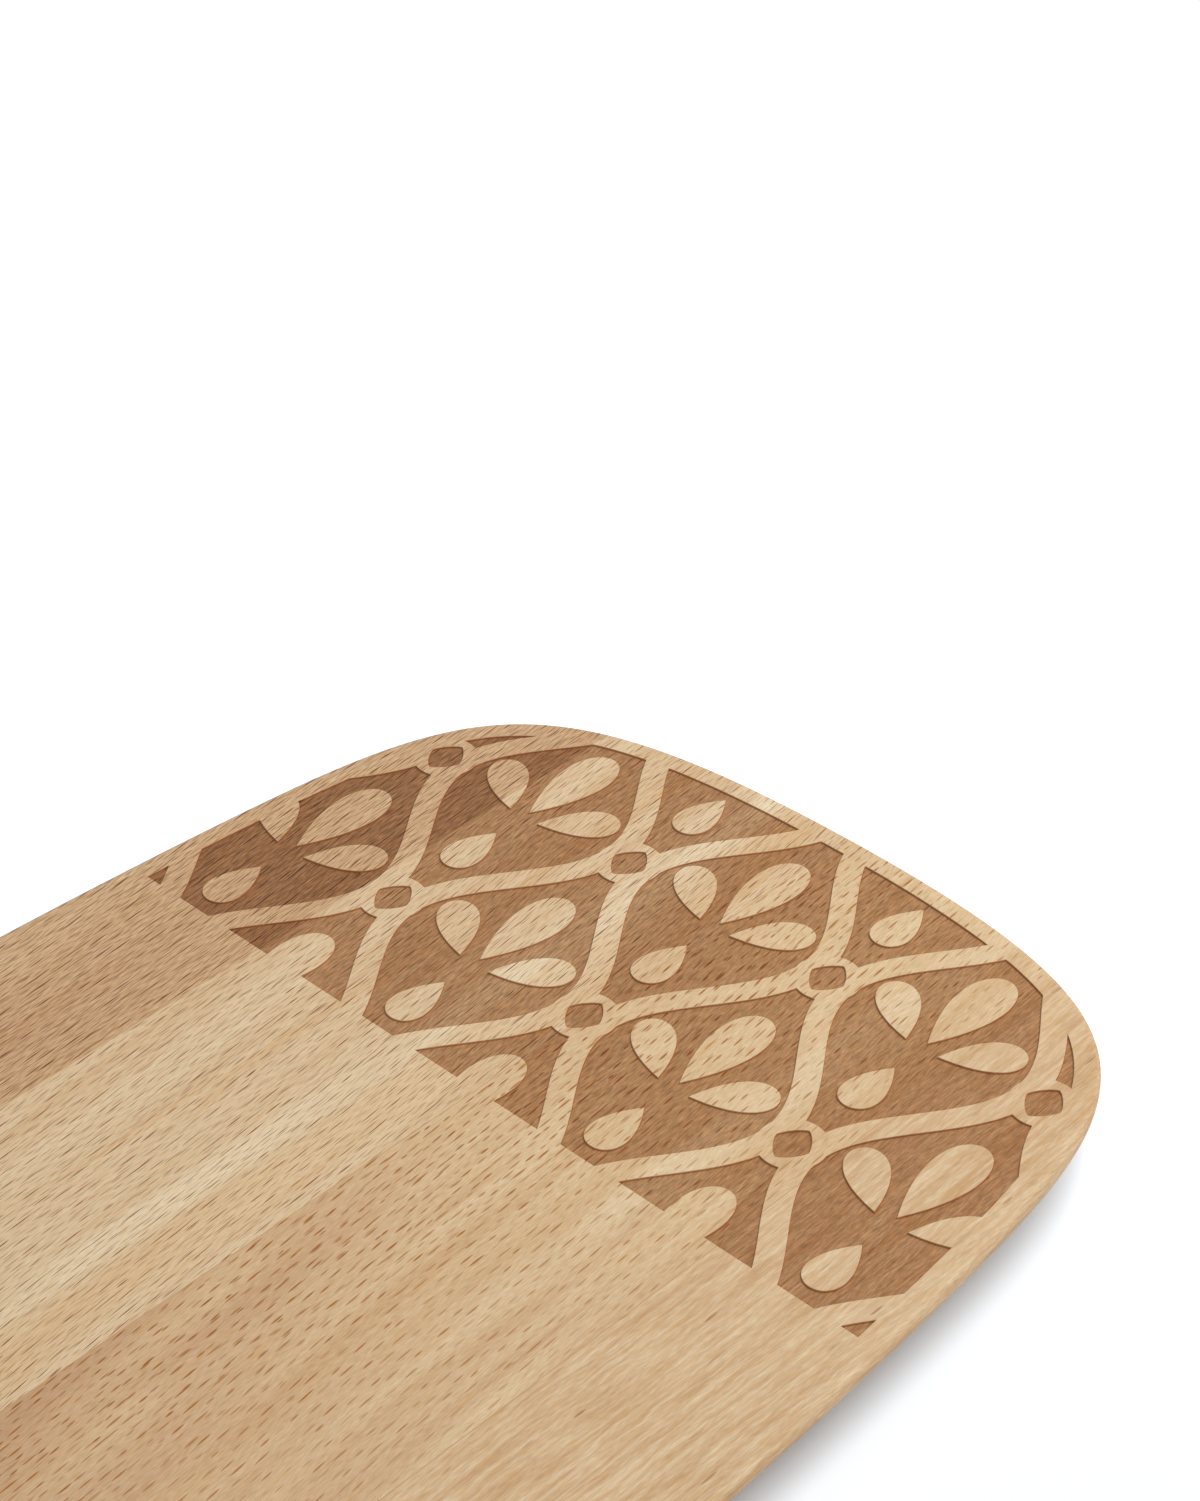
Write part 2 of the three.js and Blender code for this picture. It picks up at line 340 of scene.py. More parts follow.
def rounded_lozenge(middle, length, width, power, steps):
    """x = l / 2 sgn(cos) |cos| to a power, y likewise with sin: power 1 is an ellipse, more is a lozenge."""
    s = np.linspace(0, 2 * np.pi, steps, endpoint=False)
    x = np.sign(np.cos(s)) * np.abs(np.cos(s)) ** power
    y = np.sign(np.sin(s)) * np.abs(np.sin(s)) ** power
    return np.column_stack([x * length / 2, y * width / 2]) + middle


def band_outlines(band, field):
    """Every outline on the serving face, with its kind."""
    start = LENGTH / 2 - band.reach
    yield FIELD, field
    yield BAND, np.array([(start, -WIDTH), (LENGTH, -WIDTH), (LENGTH, WIDTH), (start, WIDTH)])
    columns = math.ceil(WIDTH / band.cell_width)
    rows = math.ceil((band.reach + band.first_back) / band.cell_length) + 1
    for column, row in itertools.product(range(-columns, columns + 1), range(rows)):
        first = start - band.first_back + (band.cell_length / 2 if column % 2 else 0)
        middle = np.array([first + row * band.cell_length, column * band.cell_width / 2])
        yield CELL, trellis_cell(band, middle)
        for outline in palmettes(band, middle):
            yield PETAL, outline
        for side in (-1, 1) if row == 0 else (1,):
            neck = middle + (side * band.cell_length / 2, 0)
            yield BEAD, rounded_lozenge(neck, band.bead, band.bead, BEAD_POWER, BEAD_STEPS)
            hollow = (band.lozenge_length, band.lozenge_width)
            yield LOZENGE, rounded_lozenge(neck, *hollow, LOZENGE_POWER, LOZENGE_STEPS)


def delaunay(points, edges, faces):
    """Triangles of the plane cut along edges and faces, anticlockwise, and the faces that hold each."""
    corners = [Vector(corner) for corner in points / MM]
    made = delaunay_2d_cdt(corners, edges, faces, 0, SAME_PLACE, True)
    points = np.array(made[0]) * MM
    triangles = np.array(made[2])
    first, second, third = (points[triangles[:, k]] for k in range(3))
    turned = np.cross(second - first, third - first) < 0
    triangles[turned] = triangles[turned][:, ::-1]
    return points, triangles, made[5]


def cut_plane(outlines):
    """Triangles of the plane cut along every outline, and which kinds of outline hold each."""
    kinds, loops = zip(*outlines)
    counts = np.array([len(loop) for loop in loops])
    starts = np.cumsum(counts) - counts
    faces = [list(range(start, start + count)) for start, count in zip(starts, counts)]
    points, triangles, holders = delaunay(np.concatenate(loops), [], faces)
    held = np.zeros((len(triangles), LOZENGE + 1), bool)
    rows = np.repeat(np.arange(len(triangles)), [len(holder) for holder in holders])
    held[rows, np.array(kinds)[np.fromiter(itertools.chain.from_iterable(holders), int)]] = True
    return points, triangles, held


def border_edges(triangles, count):
    """The directed edges that only one of these triangles has."""
    edges = np.concatenate([triangles[:, [0, 1]], triangles[:, [1, 2]], triangles[:, [2, 0]]])
    there = edges[:, 0] * count + edges[:, 1]
    back = edges[:, 1] * count + edges[:, 0]
    return edges[~np.isin(there, back)]


def mitres(points, edges):
    """At each point of the border, how far one unit of run moves it: the two edges' normals, mitred."""
    along = points[edges[:, 1]] - points[edges[:, 0]]
    normal = np.column_stack([-along[:, 1], along[:, 0]])
    normal /= np.maximum(np.linalg.norm(normal, axis=1), SAME_PLACE * MM)[:, None]
    total = np.zeros_like(points)
    np.add.at(total, edges[:, 0], normal)
    np.add.at(total, edges[:, 1], normal)
    size = np.maximum(np.linalg.norm(total, axis=1), 2 / LONGEST_MITRE)[:, None]
    return 2 * total / size**2


def margin_strip(lip, points, edges):
    """The plain strip between the rim's lip and the border of the field, which is convex: triangles that
    have a corner on the lip."""
    border, place = np.unique(edges, return_inverse=True)
    both = np.concatenate([lip, points[border]])
    loop = np.arange(len(lip))
    inner = place.reshape(edges.shape) + len(lip)
    sides = np.concatenate([np.column_stack([loop, np.roll(loop, -1)]), inner]).tolist()
    made, triangles, _ = delaunay(both, sides, [])
    return made, triangles[(triangles < len(lip)).any(axis=1)]


def serving_face(band, plan, inward, lip):
    """The top with its milled ground: points, flat faces, wall faces and the depth share of each point.

    A place is ground if it is in the band and the field, and in a cell but in no petal or bead, or in a
    lozenge. The wall's section is carried along the border of the ground, down and in.
    """
    points, triangles, held = cut_plane(band_outlines(band, plan + inward * band.margin))
    hollow = held[:, CELL] & ~held[:, PETAL] & ~held[:, BEAD] | held[:, LOZENGE]
    ground = held[:, BAND] & held[:, FIELD] & hollow
    land = held[:, FIELD] & ~ground
    strip_points, strip = margin_strip(lip, points, border_edges(triangles[held[:, FIELD]], len(points)))
    edges = border_edges(triangles[ground], len(points))
    border, place = np.unique(edges, return_inverse=True)
    place = place.reshape(edges.shape)
    mitre = mitres(points, edges)
    runs = WALL_SECTION[:, 0] * band.wall_run
    drops = WALL_SECTION[:, 1]
    rings = points[border][None] + mitre[border][None] * runs[:, None, None]
    layers = [points, rings.reshape(-1, 2), points + mitre * band.wall_run, strip_points]
    starts = np.cumsum([0] + [len(layer) for layer in layers])
    shares = [
        np.zeros(len(points)),
        np.repeat(drops, len(border)),
        np.ones(len(points)),
        np.zeros(len(strip_points)),
    ]
    share = np.concatenate(shares)
    levels = starts[1] + np.arange(len(runs))[:, None] * len(border)
    first, second = levels + place[:, 0], levels + place[:, 1]
    walls = np.stack([first[:-1], second[:-1], second[1:], first[1:]], axis=2).reshape(-1, 4)
    flats = np.concatenate([triangles[land], triangles[ground] + starts[2], strip + starts[3]])
    return np.column_stack([np.concatenate(layers), THICKNESS - band.depth * share]), flats, walls, share


def whole_board(shape, band):
    """The board before it is cut into staves, as a bmesh with the milled depth share of each point."""
    plan, inward = board_plan(shape)
    section = edge_section(shape)
    edge_points, edge_quads = edge_surface(plan, inward, section)
    foot = foot_strips(len(plan))
    lip = plan + inward * section[-1, 0]
    face_points, flats, walls, share = serving_face(band, plan, inward, lip)
    base = len(edge_points)
    points = np.concatenate([edge_points, face_points])
    faces = list(itertools.chain(
        edge_quads.tolist(), (walls + base).tolist(), foot.tolist(), (flats + base).tolist()
    ))
    mesh = bpy.data.meshes.new("whole_board")
    mesh.from_pydata(points, [], faces)
    smooth = np.arange(len(faces)) < len(edge_quads) + len(walls)
    mesh.polygons.foreach_set("use_smooth", smooth)
    ground = mesh.attributes.new("ground", "FLOAT", "POINT")
    ground.data.foreach_set("value", np.concatenate([np.zeros(base), share]))
    board = bmesh.new()
    board.from_mesh(mesh)
    bpy.data.meshes.remove(mesh)
    bmesh.ops.delete(board, geom=[vert for vert in board.verts if not vert.link_faces], context="VERTS")
    bmesh.ops.remove_doubles(board, verts=board.verts, dist=MERGE_DISTANCE)
    return board


def slice_of(board, low, high):
    """The part of the board between two planes across it, each cut closed with one flat face."""
    piece = board.copy()
    for place, facing in ((low, -1), (high, 1)):
        everything = piece.verts[:] + piece.edges[:] + piece.faces[:]
        cut = bmesh.ops.bisect_plane(
            piece, geom=everything, dist=MERGE_DISTANCE, plane_co=(0, place, 0), plane_no=(0, facing, 0),
            clear_outer=True,
        )
        edges = [item for item in cut["geom_cut"] if isinstance(item, bmesh.types.BMEdge)]
        open_edges = [edge for edge in edges if edge.is_boundary]
        if not open_edges:
            continue
        made = bmesh.ops.edgeloop_fill(piece, edges=open_edges)
        for face in made["faces"]:
            face.normal_update()
            face.smooth = False
            if face.normal.y * facing < 0:
                face.normal_flip()
    return piece


def finished_piece(board, node, material):
    """One piece of the board in place of its CAD node."""
    low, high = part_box(node)
    piece = slice_of(board, low.y, high.y)
    mesh = bpy.data.meshes.new(node + "_finished")
    piece.to_mesh(mesh)
    piece.free()
    mesh.materials.append(material)
    made = bpy.data.objects.new(node + "_finished", mesh)
    bpy.context.scene.collection.objects.link(made)
    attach(made, "root")
    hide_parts(node)
    return made


class Marks(NamedTuple):
    """One set of dashes along the grain. Lengths are in millimetres.

    Where full_from isn't 0, the dashes come up from nothing at fade_from to their strength at full_from,
    counted across the board.
    """

    tone: str
    length: float
    width: float
    pitch: float
    row: float
    strength: float
    soft: float = 0.2
    fade_from: float = 0
    full_from: float = 0


class Streak(NamedTuple):
    """A broad streak along a stave: its middle across the board and half its width, in millimetres.

    Its strength goes from near, at the plain part of the board, to far, at the band.
    """

    tone: str
    middle: float
    reach: float
    near: float
    far: float


class Grain(NamedTuple):
    """How the grain of one stave runs and shows.

    The lean is in degrees. Ring lines, flame and fibre are strengths, and scorch is the share of light that
    the milled ground keeps.
    """

    tone: str
    seed: float
    lean: float
    ring_strength: float
    flame: float
    fibre: float
    scorch: float
    marks: tuple
    streaks: tuple = ()


GRAINS = {
    "left_outer_stave": Grain(
        tone="left_outer", seed=1, lean=5, ring_strength=0.2, flame=0.3, fibre=0.85, scorch=0.84,
        marks=(
            Marks("dark_fleck", length=4.2, width=0.19, pitch=5.6, row=0.62, strength=0.85, soft=0.1),
            Marks("dark_fleck", length=7.0, width=0.3, pitch=10, row=1.5, strength=1.0, soft=0.1),
        ),
        streaks=(Streak("rose", middle=72, reach=14, near=0.4, far=0.1),),
    ),
    "left_inner_stave": Grain(
        tone="left_inner", seed=2, lean=6, ring_strength=0.4, flame=0.3, fibre=0.45, scorch=0.98,
        marks=(
            Marks("brown_fleck", length=3.8, width=0.18, pitch=5.6, row=0.75, strength=0.7, soft=0.1),
            Marks("brown_fleck", length=5.4, width=0.24, pitch=9.0, row=1.5, strength=1.0, soft=0.1),
            Marks("honey", length=12, width=0.7, pitch=34, row=5.3, strength=0.3, soft=0.6),
        ),
        streaks=(
            Streak("pale", middle=17.5, reach=4.6, near=0.45, far=0.75),
            Streak("honey", middle=7, reach=8, near=0.2, far=0.2),
            Streak("honey", middle=36, reach=1.0, near=0.2, far=0.3),
        ),
    ),
    "right_inner_stave": Grain(
        tone="right_inner", seed=3, lean=5, ring_strength=0.35, flame=0.4, fibre=0.55, scorch=0.99,
        marks=(
            Marks(
                "amber_fleck", length=3.6, width=0.42, pitch=6.8, row=1.75, strength=0.95,
                fade_from=-110, full_from=-20,
            ),
            Marks(
                "fleck", length=2.8, width=0.38, pitch=6.4, row=1.75, strength=0.95,
                fade_from=-42, full_from=-8,
            ),
            Marks("honey", length=14, width=0.8, pitch=38, row=5.9, strength=0.4, soft=0.6),
        ),
        streaks=(
            Streak("rose", middle=-4, reach=15, near=0.5, far=0.1),
            # A broad wash over the whole stave, darker and redder towards the plain end and gone at the band
            Streak("rose", middle=-30, reach=60, near=0.45, far=0.0),
            Streak("pale", middle=-42, reach=6, near=0.1, far=0.4),
            Streak("rose", middle=-59, reach=7, near=0.25, far=0.12),
        ),
    ),
    "right_outer_stave": Grain(
        tone="right_outer", seed=4, lean=1, ring_strength=0.3, flame=2.4, fibre=0.5, scorch=1.0,
        marks=(
            Marks("honey", length=4.6, width=0.7, pitch=8.4, row=1.9, strength=0.4, soft=0.8),
            Marks("fleck", length=4.0, width=0.5, pitch=30, row=9, strength=0.6),
        ),
        streaks=(
            Streak("pale", middle=-68, reach=9, near=0.25, far=0.0),
            # Painted highlight: a faint pale wash over the whole stave that grows towards the band, standing
            # in for the sheen there
            Streak("pale", middle=-82, reach=34, near=0.0, far=0.15),
        ),
    ),
}

# Each stave takes its grain from another place: this far along and across for each seed, in millimetres
SEED_STEP = (137, 61)

# Waves of noise in the grain: how long they are along it and how wide across it, in millimetres
SWAY = (110, 45)
WOBBLE = (16, 7)
BROAD = (260, 8)
THREAD = (120, 1.6)
FIBRE = (2.2, 0.28)
CURL = (8, 3)
FLAME = (13, 0.95)
PATCH = (70, 14)
RING_FIELD = (420, 13)
RING_PATCH = (60, 12)
BURR = (2.4, 0.42)

# Noise that has other detail than the rest: the ring lines and the torn fibres of the ground
RING_DETAIL = 2.5
BURR_ROUGHNESS = 0.6

# How far noise carries the grain, the flame and the streaks to the side, in millimetres
SWAY_REACH = 6.0
WOBBLE_REACH = 0.2
CURL_REACH = 1.6
STREAK_SWAY = 8.0
STREAK_FRAY = 3.0

# How far to the side a sheet of flecks moves for each unit of height
SHEET_TILT = 0.8

# A streak goes from its near strength to its far one between these places along the board, in millimetres
NEAR_X, FAR_X = -20, 85

# A streak is at its full strength within this share of its reach
STREAK_CORE = 0.4

# Noise from the first value, where nothing shows, to the second, where streaks and ring lines show in full
PATCH_RANGE = (-0.3, 0.1)
RING_RANGE = (-0.08, 0.2)
RING_HALF_WIDTH = 0.02

# Each row of dashes starts further on by this share of a pitch, and by up to this share more
ROW_STEP = 0.382
ROW_LAG = 0.3

# A dash's least and greatest half length and its least strength, as shares of what its set says
SHORTEST, LONGEST = 0.3, 0.65
FAINTEST = 0.35

# How far a dash moves to the side, as a share of its row, and how much softer it is towards its middle
SIDE_PLAY = 0.5
SOFT_EDGE = 0.1

# Shares of the stave's colour between which its tone and its fibres vary, and the strength of its threads
DARK_SHARE = np.array([0.87, 0.75, 0.62])
LIGHT_SHARE = np.array([1.14, 1.23, 1.33])
DARK_FIBRE = (0.55, 0.42, 0.18)
LIGHT_FIBRE = (1.45, 1.58, 1.82)
THREAD_STRENGTH = 0.6

# The milled ground: its share of the wood's colour, its torn fibres, and the depth from which it is brown
SCORCH = (0.58, 0.42, 0.31)
BURR_STRENGTH = 1.4
BROWN_FROM = 0.6
# The wall's extra brown, partly the cutter's scorch and partly painted shade on the wall: its share at the
# wall's middle and its colour
WALL_SCORCH_AND_SHADE_SHARE = 0.45
WALL_SCORCH_AND_SHADE = srgb(150, 72, 8)

# Painted light that makes upright faces such as the rim brighter and warmer, and the end grain
RIM_PAINTED_LIGHT = (1.1, 1.03, 0.96)
END_SHARE = 0.22
END_BROWN = srgb(160, 112, 72)

# Parts of the normal, from where a face starts to count as flat, as upright for the rim's painted light, or
# as end grain to where it is one
FLAT_FACING = (0.7, 0.97)
RIM_LIGHT_FACING = (0.7, 0.2)
END_FACING = (0.6, 0.95)

# Oiled wood: its gloss, its roughness and what fibres and milling add to that, and its relief
GLOSS = 0.25
WOOD_ROUGHNESS = 0.56
FIBRE_ROUGHNESS = 0.25
GROUND_ROUGHNESS = 0.2
PORE_DEPTH = 0.6
WOOD_RELIEF = 0.04 * MM
WOOD_RELIEF_STRENGTH = 0.5

# Cured glue: its clouds along and across, their contrast, its roughness, its relief and its milled colour
CLOUD = (9 * MM, 1 * MM)
CLOUD_CONTRAST = 0.15
GLUE_ROUGHNESS = 0.5
CLOUD_ROUGHNESS = 0.2
GLUE_RELIEF = 0.02 * MM
GLUE_RELIEF_STRENGTH = 0.3
GLUE_SCORCH_SHARE = 0.8
GLUE_SCORCH = srgb(120, 80, 50)


class Finish:
    """A material or world being wired: each method adds a node and gives back its output."""

    def __init__(self, owner):
        owner.use_nodes = True
        self.owner = owner
        self.tree = owner.node_tree
        self.tree.nodes.clear()

    def put(self, kind, inputs=None, **settings):
        """Add a node; an input is a value or another node's output."""
        node = self.tree.nodes.new(kind)
        for name, value in settings.items():
            setattr(node, name, value)
        for name, value in (inputs or {}).items():
            if isinstance(value, bpy.types.NodeSocket):
                self.tree.links.new(value, node.inputs[name])
            else:
                node.inputs[name].default_value = value
        return node

    def maths(self, operation, *values):
        inputs = dict(enumerate(values))
        return self.put("ShaderNodeMath", inputs, operation=operation).outputs[0]

    def vector(self, x, y, z):
        return self.put("ShaderNodeCombineXYZ", {0: x, 1: y, 2: z}).outputs[0]

    def parts(self, vector):
        return self.put("ShaderNodeSeparateXYZ", {0: vector}).outputs

    def noise(self, place, size, detail=2.0, roughness=0.5):
        """Noise from about -0.5 to 0.5, in waves of this size along and across."""
        along, across = size
        steps = {0: place, 1: (1 / along, 1 / across, 1 / across)}
        waves = self.put("ShaderNodeVectorMath", steps, operation="MULTIPLY").outputs[0]
        inputs = {"Vector": waves, "Scale": 1.0, "Detail": detail, "Roughness": roughness}
        made = self.put("ShaderNodeTexNoise", inputs).outputs[0]
        return self.maths("SUBTRACT", made, 0.5)

    def spread(self, value, low, high, out_low=0.0, out_high=1.0, curve="SMOOTHSTEP"):
        """A value from low to high, carried to another range and held there."""
        inputs = {"Value": value, "From Min": low, "From Max": high, "To Min": out_low, "To Max": out_high}
        return self.put("ShaderNodeMapRange", inputs, interpolation_type=curve).outputs[0]

    def mix(self, share, first, second, blend="MIX"):
        node = self.put("ShaderNodeMix", data_type="RGBA", blend_type=blend, clamp_factor=True)
        sockets = (node.inputs[0], node.inputs[6], node.inputs[7])
        for socket, value in zip(sockets, (share, first, second)):
            if isinstance(value, bpy.types.NodeSocket):
                self.tree.links.new(value, socket)
            else:
                socket.default_value = value if isinstance(value, (int, float)) else (*value, 1)
        return node.outputs[2]

    def oiled(self, colour, rough, height, relief, strength):
        """The material of this colour and roughness under a faint gloss, with the height as its relief."""
        bump = {"Strength": strength, "Distance": relief, "Height": height}
        shader = self.put("ShaderNodeBsdfPrincipled", {
            "Base Color": colour,
            "Roughness": rough,
            "Specular IOR Level": GLOSS,
            "Normal": self.put("ShaderNodeBump", bump).outputs[0],
        }).outputs[0]
        return self.surface(shader)

    def surface(self, shader, output="ShaderNodeOutputMaterial"):
        self.put(output, {"Surface": shader})
        return self.owner


class GrainPlace(NamedTuple):
    """Where a point lies in the grain of its stave, as outputs of nodes.

    turned is the point in the stave's own axes, and place is it with the sway of the grain. along, across
    and up are its parts, with the sheets' lean in across. zone is its swayed place across the board. All
    of these are in millimetres. run goes from 0 at the plain part of the board to 1 at the band.
    """

    turned: bpy.types.NodeSocket
    place: bpy.types.NodeSocket
    along: bpy.types.NodeSocket
    across: bpy.types.NodeSocket
    up: bpy.types.NodeSocket
    zone: bpy.types.NodeSocket
    run: bpy.types.NodeSocket


def grain_place(finish, spot, grain):
    """The point turned by the grain's lean and carried to the side by slow and quick noise."""
    turned = finish.put("ShaderNodeMapping", {
        "Vector": spot,
        "Location": (SEED_STEP[0] * grain.seed, SEED_STEP[1] * grain.seed, 0),
        "Rotation": (0, 0, -math.radians(grain.lean)),
        "Scale": (1 / MM, 1 / MM, 1 / MM),
    }).outputs[0]
    along, side, up = finish.parts(turned)
    sway = finish.noise(turned, SWAY, 1)
    wobble = finish.noise(turned, WOBBLE, 1)
    side = finish.maths("MULTIPLY_ADD", sway, SWAY_REACH, side)
    side = finish.maths("MULTIPLY_ADD", wobble, WOBBLE_REACH, side)
    board_x, board_y, _ = finish.parts(spot)
    return GrainPlace(
        turned=turned,
        place=finish.vector(along, side, up),
        along=along,
        across=finish.maths("MULTIPLY_ADD", up, SHEET_TILT, side),
        up=up,
        zone=finish.maths("MULTIPLY_ADD", sway, STREAK_SWAY, finish.maths("DIVIDE", board_y, MM)),
        run=finish.spread(board_x, NEAR_X * MM, FAR_X * MM, 0, 1, "LINEAR"),
    )


def dashes(finish, at, marks):
    """Pointed dashes: rows along the grain, each with one dash to a pitch, every row a little further on.

    A dash is where |across| / half width < 1 - (|along| / half length) squared. Its place, length and
    strength are drawn by lot.
    """
    rows = finish.maths("DIVIDE", at.across, marks.row)
    line = finish.maths("FLOOR", rows)
    lag = finish.put("ShaderNodeTexWhiteNoise", {"W": line}, noise_dimensions="1D").outputs["Value"]
    step = finish.maths("MULTIPLY_ADD", line, ROW_STEP, finish.maths("MULTIPLY", lag, ROW_LAG))
    run = finish.maths("ADD", step, finish.maths("DIVIDE", at.along, marks.pitch))
    cell = finish.vector(finish.maths("FLOOR", run), line, 0.0)
    lots = finish.put("ShaderNodeTexWhiteNoise", {"Vector": cell}, noise_dimensions="2D").outputs
    lot = finish.put("ShaderNodeSeparateColor", {0: lots["Color"]}).outputs
    reach = finish.spread(lot[2], 0, 1, SHORTEST * marks.length, LONGEST * marks.length, "LINEAR")
    spare = 1 - 2 * LONGEST * marks.length / marks.pitch
    place = finish.maths("MULTIPLY_ADD", lot[0], spare, finish.maths("FRACT", run))
    place = finish.maths("MULTIPLY", finish.maths("SUBTRACT", place, 0.5 + spare / 2), marks.pitch)
    side = finish.maths("MULTIPLY_ADD", lot[1], SIDE_PLAY, finish.maths("FRACT", rows))
    side = finish.maths("MULTIPLY", finish.maths("SUBTRACT", side, 0.5 + SIDE_PLAY / 2), marks.row)
    end = finish.maths("POWER", finish.maths("DIVIDE", finish.maths("ABSOLUTE", place), reach), 2.0)
    edge = finish.maths("DIVIDE", finish.maths("ABSOLUTE", side), marks.width / 2)
    inside = finish.maths("SUBTRACT", finish.maths("SUBTRACT", 1.0, end), edge)
    strength = finish.spread(lots["Value"], 0, 1, FAINTEST * marks.strength, marks.strength, "LINEAR")
    return finish.maths("MULTIPLY", finish.spread(inside, -marks.soft, marks.soft + SOFT_EDGE), strength)


def toned(finish, at, thread, mean, flame_strength):
    """The stave's mean colour, varied by broad waves, by threads and by a curling flame."""
    broad = finish.noise(at.place, BROAD)
    curl = finish.noise(at.turned, CURL, 1)
    waved = finish.vector(at.along, finish.maths("MULTIPLY_ADD", curl, CURL_REACH, at.across), at.up)
    flame = finish.noise(waved, FLAME)
    tone = finish.maths("ADD", broad, 0.5)
    tone = finish.maths("MULTIPLY_ADD", flame, flame_strength, tone)
    tone = finish.maths("MULTIPLY_ADD", thread, THREAD_STRENGTH, tone)
    return finish.mix(tone, mean * DARK_SHARE, np.minimum(mean * LIGHT_SHARE, 1))


def streaked(finish, wood, at, thread, tones, streaks):
    """The wood with its broad streaks, which fray at their edges and come up in patches."""
    patch = finish.spread(finish.noise(at.place, PATCH, 1), *PATCH_RANGE)
    for streak in streaks:
        off = finish.maths("ABSOLUTE", finish.maths("SUBTRACT", at.zone, streak.middle))
        off = finish.maths("MULTIPLY_ADD", thread, STREAK_FRAY, off)
        share = finish.maths("MULTIPLY", finish.spread(off, streak.reach, STREAK_CORE * streak.reach), patch)
        strength = finish.spread(at.run, 0, 1, streak.near, streak.far, "LINEAR")
        colour = tuple(getattr(tones, streak.tone))
        wood = finish.mix(finish.maths("MULTIPLY", share, strength), wood, colour)
    return wood


def ringed(finish, wood, at, colour, strength):
    """The wood with thin ring lines, where long noise passes through 0."""
    field = finish.noise(at.place, RING_FIELD, RING_DETAIL)
    line = finish.spread(finish.maths("ABSOLUTE", field), RING_HALF_WIDTH, 0.0)
    patch = finish.spread(finish.noise(at.place, RING_PATCH, 1), *RING_RANGE)
    share = finish.maths("MULTIPLY", line, finish.maths("MULTIPLY", patch, strength))
    return finish.mix(share, wood, colour)


def flecked(finish, wood, at, flat, tones, sets):
    """The wood with every set of dashes on its flat faces, and how deep in a dash each point is."""
    pores = 0.0
    for marks in sets:
        dash = finish.maths("MULTIPLY", dashes(finish, at, marks), flat)
        if marks.full_from:
            dash = finish.maths("MULTIPLY", dash, finish.spread(at.zone, marks.fade_from, marks.full_from))
        wood = finish.mix(dash, wood, tuple(getattr(tones, marks.tone)))
        pores = finish.maths("MAXIMUM", pores, dash)
    return wood, pores


def milled(finish, wood, depth, burr, scorch):
    """The wood browned by the cutter at a depth d from 0 to 1, and browner by 4 d (1 - d) on the wall,
    partly as the cutter's scorch and partly as painted shade.
    """
    worn = finish.maths("MULTIPLY_ADD", burr, BURR_STRENGTH, scorch)
    brown = finish.vector(*[finish.maths("MULTIPLY", worn, share) for share in SCORCH])
    ground = finish.mix(1.0, wood, brown, "MULTIPLY")
    wood = finish.mix(finish.spread(depth, 0.0, BROWN_FROM), wood, ground)
    # Scorch together with painted shade: the wall is browner towards its middle
    wall = finish.maths("MULTIPLY", depth, finish.maths("SUBTRACT", 1.0, depth))
    return finish.mix(finish.maths("MULTIPLY", wall, 4 * WALL_SCORCH_AND_SHADE_SHARE), wood, WALL_SCORCH_AND_SHADE)


def ground_depth(finish):
    """The depth share that the mesh carries: 0 on the serving face and 1 on the milled ground."""
    return finish.put("ShaderNodeAttribute", attribute_name="ground").outputs["Fac"]


def beech(node, tones, grain):
    """Oiled beech: streaks and fibres along the stave, ring lines, flecks and a browner milled ground."""
    finish = Finish(bpy.data.materials.new(node + "_beech"))
    coordinates = finish.put("ShaderNodeTexCoord").outputs
    at = grain_place(finish, coordinates["Object"], grain)
    facing = finish.parts(coordinates["Normal"])
    endwise = finish.maths("ABSOLUTE", facing[0])
    upright = finish.maths("ABSOLUTE", facing[2])
    depth = ground_depth(finish)
    thread = finish.noise(at.place, THREAD)
    fibre = finish.noise(at.place, FIBRE, 1)
    burr = finish.noise(at.place, BURR, 2, BURR_ROUGHNESS)

    wood = toned(finish, at, thread, np.array(getattr(tones, grain.tone)), grain.flame)
    wood = streaked(finish, wood, at, thread, tones, grain.streaks)
    wood = ringed(finish, wood, at, tuple(tones.ring), grain.ring_strength)
    speck = finish.maths("MULTIPLY_ADD", fibre, grain.fibre, 0.5)
    wood = finish.mix(1.0, wood, finish.mix(speck, DARK_FIBRE, LIGHT_FIBRE), "MULTIPLY")
    flat = finish.spread(upright, *FLAT_FACING)
    wood, pores = flecked(finish, wood, at, flat, tones, grain.marks)
    wood = milled(finish, wood, depth, burr, grain.scorch)
    # Painted light: upright faces such as the rim are made brighter and warmer
    wood = finish.mix(finish.spread(upright, *RIM_LIGHT_FACING), wood, RIM_PAINTED_LIGHT, "MULTIPLY")
    end = finish.maths("MULTIPLY", finish.spread(endwise, *END_FACING), END_SHARE)
    wood = finish.mix(end, wood, END_BROWN)

    height = finish.maths("MULTIPLY_ADD", pores, -PORE_DEPTH, fibre)
    height = finish.maths("ADD", height, finish.maths("MULTIPLY", burr, depth))
    rough = finish.maths("MULTIPLY_ADD", fibre, FIBRE_ROUGHNESS, WOOD_ROUGHNESS)
    rough = finish.maths("MULTIPLY_ADD", depth, GROUND_ROUGHNESS, rough)
    return finish.oiled(wood, rough, height, WOOD_RELIEF, WOOD_RELIEF_STRENGTH)


